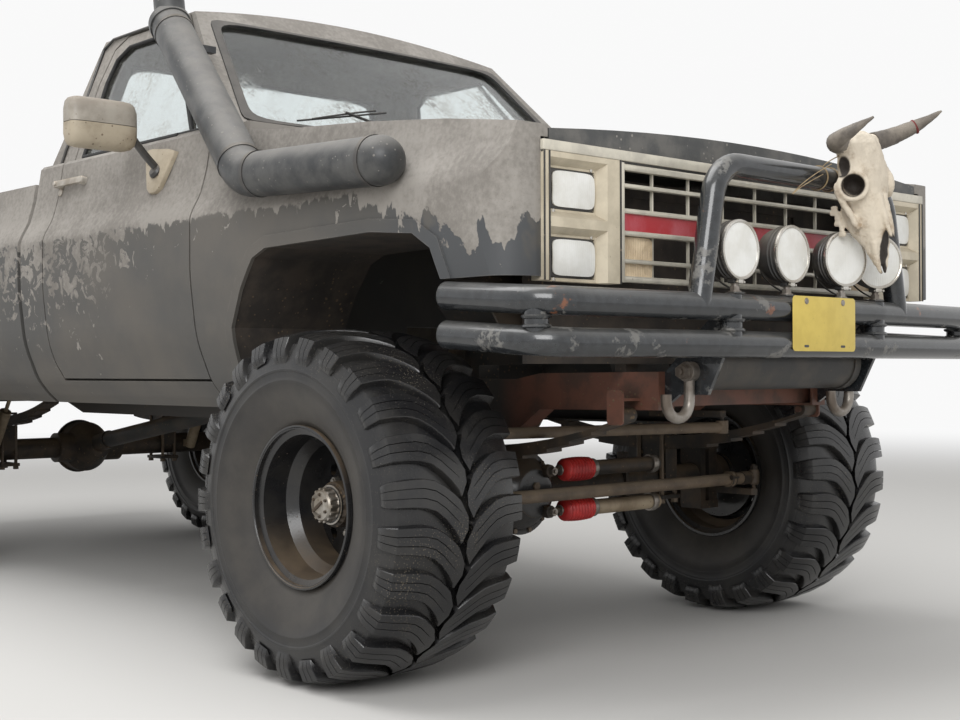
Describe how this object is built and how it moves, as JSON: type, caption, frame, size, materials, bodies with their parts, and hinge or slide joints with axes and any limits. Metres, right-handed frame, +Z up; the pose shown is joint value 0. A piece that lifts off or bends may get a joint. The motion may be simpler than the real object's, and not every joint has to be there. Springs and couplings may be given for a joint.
{
  "type": "lifted off-road 4x4 pickup truck",
  "caption": "Lifted regular-cab 4x4 pickup on mud tyres with a tube bumper and brush guard, driving lamps, raised air intake, opening doors, hood and tailgate, and working steering.",
  "frame": {"origin": "on the ground under the middle of the whole truck", "axes": "+X forward, +Y to the left, +Z up"},
  "size_m": [5.6013, 2.566, 2.365],
  "materials": {
    "body_paint": "flat dark grey paint with dried mud",
    "chassis_paint": "black chassis paint, dusty",
    "bumper_paint": "gloss black paint with dried mud",
    "axle_iron": "oily black casting",
    "rusty_steel": "bare steel with light rust",
    "damper_paint": "tan painted tube, dirty",
    "bright_trim": "dulled bright trim",
    "rim_paint": "satin black",
    "tyre_rubber": "matt, dusty in the grooves",
    "clear_glass": "clear",
    "lamp_glass": "ribbed clear lens",
    "red_lens": "red lens",
    "bone": "weathered bone",
    "black_plastic": "grained black",
    "seat_vinyl": "dark vinyl"
  },
  "bodies": {
    "chassis": {"frame": "chassis_paint", "front_bumper": "bumper_paint", "air_tank": "chassis_paint", "driving_lamps": "lamp_glass", "skull": "bone", "rear_bumper": "bumper_paint", "engine": "axle_iron", "gearbox": "axle_iron", "radiator": "chassis_paint", "front_axle": "axle_iron", "rear_axle": "axle_iron", "leaf_springs": "chassis_paint", "shock_absorbers": "damper_paint", "driveshafts": "rusty_steel", "exhaust": "rusty_steel", "steering_box": "axle_iron", "steering_dampers": "damper_paint", "cab_shell": "body_paint", "cab_glass": "clear_glass", "dashboard": "black_plastic", "bench_seat": "seat_vinyl", "fenders": "body_paint", "inner_fenders": "chassis_paint", "grille": "bright_trim", "headlamp_bezels": "bright_trim", "headlamps": "lamp_glass", "air_intake": "body_paint", "cargo_bed": "body_paint", "tail_lamps": "red_lens"},
    "steer_right": {"knuckle_right": "axle_iron"},
    "steer_left": {"knuckle_left": "axle_iron"},
    "tie_rod": {"tie_rod": "rusty_steel"},
    "drag_link": {"drag_link": "rusty_steel"},
    "pitman": {"pitman_arm": "axle_iron"},
    "steering_wheel": {"steering_wheel": "black_plastic"},
    "door_right": {"door_right": "body_paint", "door_glass_right": "clear_glass", "mirror_right": "bright_trim"},
    "door_left": {"door_left": "body_paint", "door_glass_left": "clear_glass", "mirror_left": "bright_trim"},
    "hood": {"hood": "body_paint"},
    "tailgate": {"tailgate": "body_paint"},
    "wheel_front_right": {"wheel_front_right": "rim_paint", "tyre_front_right": "tyre_rubber"},
    "wheel_front_left": {"wheel_front_left": "rim_paint", "tyre_front_left": "tyre_rubber"},
    "wheel_rear_right": {"wheel_rear_right": "rim_paint", "tyre_rear_right": "tyre_rubber"},
    "wheel_rear_left": {"wheel_rear_left": "rim_paint", "tyre_rear_left": "tyre_rubber"}
  },
  "joints": [
    {"name": "steering_right", "type": "hinge", "parent": "chassis", "child": "steer_right", "pos_m": [1.7335, -0.69, 0.492], "axis": [0, 0, 1], "range_deg": [-25, 25]},
    {"name": "steering_left", "type": "hinge", "parent": "chassis", "child": "steer_left", "pos_m": [1.7335, 0.69, 0.492], "axis": [0, 0, 1], "range_deg": [-25, 25]},
    {"name": "tie_rod_end", "type": "hinge", "parent": "steer_right", "child": "tie_rod", "pos_m": [1.9535, -0.69, 0.492], "axis": [0, 0, 1], "range_deg": [-25, 25]},
    {"name": "drag_link_end", "type": "hinge", "parent": "steer_right", "child": "drag_link", "pos_m": [1.9535, -0.63, 0.684], "axis": [0, 0, 1], "range_deg": [-25, 25]},
    {"name": "pitman_shaft", "type": "hinge", "parent": "chassis", "child": "pitman", "pos_m": [1.9235, 0.205, 0.726], "axis": [0, 0, 1], "range_deg": [-25, 25]},
    {"name": "steering_column", "type": "hinge", "parent": "chassis", "child": "steering_wheel", "pos_m": [0.7185, 0.37, 1.492], "axis": [-0.848, 0, 0.5299], "range_deg": [-400, 400]},
    {"name": "wheel_front_right_spin", "type": "hinge", "parent": "steer_right", "child": "wheel_front_right", "pos_m": [1.7335, -0.9, 0.492], "axis": [0, 1, 0], "continuous": true},
    {"name": "wheel_rear_right_spin", "type": "hinge", "parent": "chassis", "child": "wheel_rear_right", "pos_m": [-1.6065, -0.9, 0.492], "axis": [0, 1, 0], "continuous": true},
    {"name": "wheel_front_left_spin", "type": "hinge", "parent": "steer_left", "child": "wheel_front_left", "pos_m": [1.7335, 0.9, 0.492], "axis": [0, 1, 0], "continuous": true},
    {"name": "wheel_rear_left_spin", "type": "hinge", "parent": "chassis", "child": "wheel_rear_left", "pos_m": [-1.6065, 0.9, 0.492], "axis": [0, 1, 0], "continuous": true},
    {"name": "door_right_hinge", "type": "hinge", "parent": "chassis", "child": "door_right", "pos_m": [1.0075, -0.996, 1.25], "axis": [0, 0, 1], "range_deg": [0, 60]},
    {"name": "door_left_hinge", "type": "hinge", "parent": "chassis", "child": "door_left", "pos_m": [1.0075, 0.996, 1.25], "axis": [0, 0, -1], "range_deg": [0, 60]},
    {"name": "hood_hinge", "type": "hinge", "parent": "chassis", "child": "hood", "pos_m": [1.1275, 0, 1.622], "axis": [0, -1, 0], "range_deg": [0, 50]},
    {"name": "tailgate_hinge", "type": "hinge", "parent": "chassis", "child": "tailgate", "pos_m": [-2.6385, 0, 1.126], "axis": [0, -1, 0], "range_deg": [0, 90]}
  ],
  "couplings": [
    {"joint": "steering_left", "follows": "steering_right", "ratio": 1},
    {"joint": "tie_rod_end", "follows": "steering_right", "ratio": -1},
    {"joint": "drag_link_end", "follows": "steering_right", "ratio": -1},
    {"joint": "pitman_shaft", "follows": "steering_right", "ratio": 1},
    {"joint": "steering_column", "follows": "steering_right", "ratio": 16}
  ]
}
